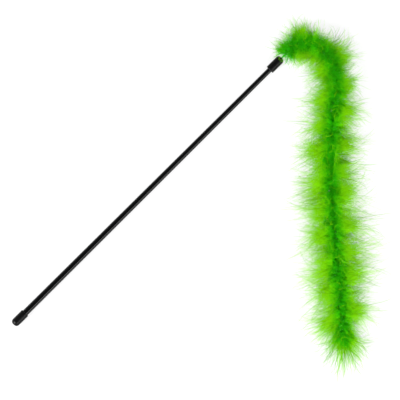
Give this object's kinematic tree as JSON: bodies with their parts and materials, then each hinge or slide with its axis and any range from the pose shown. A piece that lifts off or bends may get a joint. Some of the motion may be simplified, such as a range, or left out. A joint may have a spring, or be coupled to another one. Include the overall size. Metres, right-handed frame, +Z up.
{
  "type": "feather cat wand",
  "caption": "Cat teaser wand: a tapered black rod with vinyl end caps and a bright green marabou boa whose core cord is knotted in the tip cap.",
  "frame": {"origin": "middle of the bounding box of the toy as it lies, on the surface that it lies on", "axes": "+X along the rod from the handle end to the tip, +Y to the rod's left seen from above, +Z up from the surface"},
  "size_m": [0.4576, 0.3105, 0.0314],
  "materials": {
    "rod": "smooth glossy black moulded rod",
    "vinyl": "satin black soft vinyl",
    "cord": "dyed twisted cotton cord",
    "down": "dyed marabou down, matt and fluffy"
  },
  "bodies": {
    "wand": {"rod": "rod", "handle_cap": "vinyl", "tip_cap": "vinyl"},
    "knotted_cord": {"cord_knot": "cord"},
    "boa_01": {"core_cord_01": "cord", "plume_01_left": "down", "plume_01_right": "down", "plume_01_under": "down"},
    "boa_02": {"core_cord_02": "cord", "plume_02_left": "down", "plume_02_right": "down", "plume_02_under": "down"},
    "boa_03": {"core_cord_03": "cord", "plume_03_left": "down", "plume_03_right": "down", "plume_03_under": "down"},
    "boa_04": {"core_cord_04": "cord", "plume_04_left": "down", "plume_04_right": "down", "plume_04_under": "down"},
    "boa_05": {"core_cord_05": "cord", "plume_05_left": "down", "plume_05_right": "down", "plume_05_under": "down"},
    "boa_06": {"core_cord_06": "cord", "plume_06_left": "down", "plume_06_right": "down", "plume_06_under": "down"},
    "boa_07": {"core_cord_07": "cord", "plume_07_left": "down", "plume_07_right": "down", "plume_07_under": "down"},
    "boa_08": {"core_cord_08": "cord", "plume_08_left": "down", "plume_08_right": "down", "plume_08_under": "down"},
    "boa_09": {"core_cord_09": "cord", "plume_09_left": "down", "plume_09_right": "down", "plume_09_under": "down"},
    "boa_10": {"core_cord_10": "cord", "plume_10_left": "down", "plume_10_right": "down", "plume_10_under": "down"},
    "boa_11": {"core_cord_11": "cord", "plume_11_left": "down", "plume_11_right": "down", "plume_11_under": "down"},
    "boa_12": {"core_cord_12": "cord", "plume_12_left": "down", "plume_12_right": "down", "plume_12_under": "down", "tail_tuft": "down"}
  },
  "joints": [
    {"name": "cord_swivel", "type": "hinge", "parent": "wand", "child": "knotted_cord", "pos_m": [0.1697, 0.1369, 0.0046], "axis": [1, 0, 0], "continuous": true},
    {"name": "boa_sway_01", "type": "hinge", "parent": "knotted_cord", "child": "boa_01", "pos_m": [0.1697, 0.1369, 0.0046], "axis": [0, 0, 1], "range_deg": [-35, 60]},
    {"name": "boa_dip_02", "type": "hinge", "parent": "boa_01", "child": "boa_02", "pos_m": [0.1889, 0.1359, 0.008], "axis": [0.4179, 0.9085, 0], "range_deg": [-30, 30]},
    {"name": "boa_sway_03", "type": "hinge", "parent": "boa_02", "child": "boa_03", "pos_m": [0.2026, 0.1215, 0.0106], "axis": [0, 0, 1], "range_deg": [-25, 30]},
    {"name": "boa_lift_04", "type": "hinge", "parent": "boa_03", "child": "boa_04", "pos_m": [0.2027, 0.0992, 0.012], "axis": [-0.9621, 0.2727, 0], "range_deg": [-30, 30]},
    {"name": "boa_sway_05", "type": "hinge", "parent": "boa_04", "child": "boa_05", "pos_m": [0.189, 0.0772, 0.0122], "axis": [0, 0, 1], "range_deg": [-20, 30]},
    {"name": "boa_lift_06", "type": "hinge", "parent": "boa_05", "child": "boa_06", "pos_m": [0.1664, 0.0582, 0.0122], "axis": [-0.6467, 0.7628, 0], "range_deg": [-30, 30]},
    {"name": "boa_sway_07", "type": "hinge", "parent": "boa_06", "child": "boa_07", "pos_m": [0.1416, 0.037, 0.0122], "axis": [0, 0, 1], "range_deg": [-30, 30]},
    {"name": "boa_lift_08", "type": "hinge", "parent": "boa_07", "child": "boa_08", "pos_m": [0.1179, 0.0132, 0.0122], "axis": [-0.7262, 0.6875, 0], "range_deg": [-30, 30]},
    {"name": "boa_sway_09", "type": "hinge", "parent": "boa_08", "child": "boa_09", "pos_m": [0.0954, -0.0118, 0.0122], "axis": [0, 0, 1], "range_deg": [-30, 30]},
    {"name": "boa_lift_10", "type": "hinge", "parent": "boa_09", "child": "boa_10", "pos_m": [0.0736, -0.0374, 0.0122], "axis": [-0.7666, 0.6421, 0], "range_deg": [-30, 30]},
    {"name": "boa_sway_11", "type": "hinge", "parent": "boa_10", "child": "boa_11", "pos_m": [0.0521, -0.0635, 0.012], "axis": [0, 0, 1], "range_deg": [-30, 30]},
    {"name": "boa_lift_12", "type": "hinge", "parent": "boa_11", "child": "boa_12", "pos_m": [0.0306, -0.0895, 0.0116], "axis": [-0.7666, 0.6421, 0], "range_deg": [-30, 30]}
  ]
}
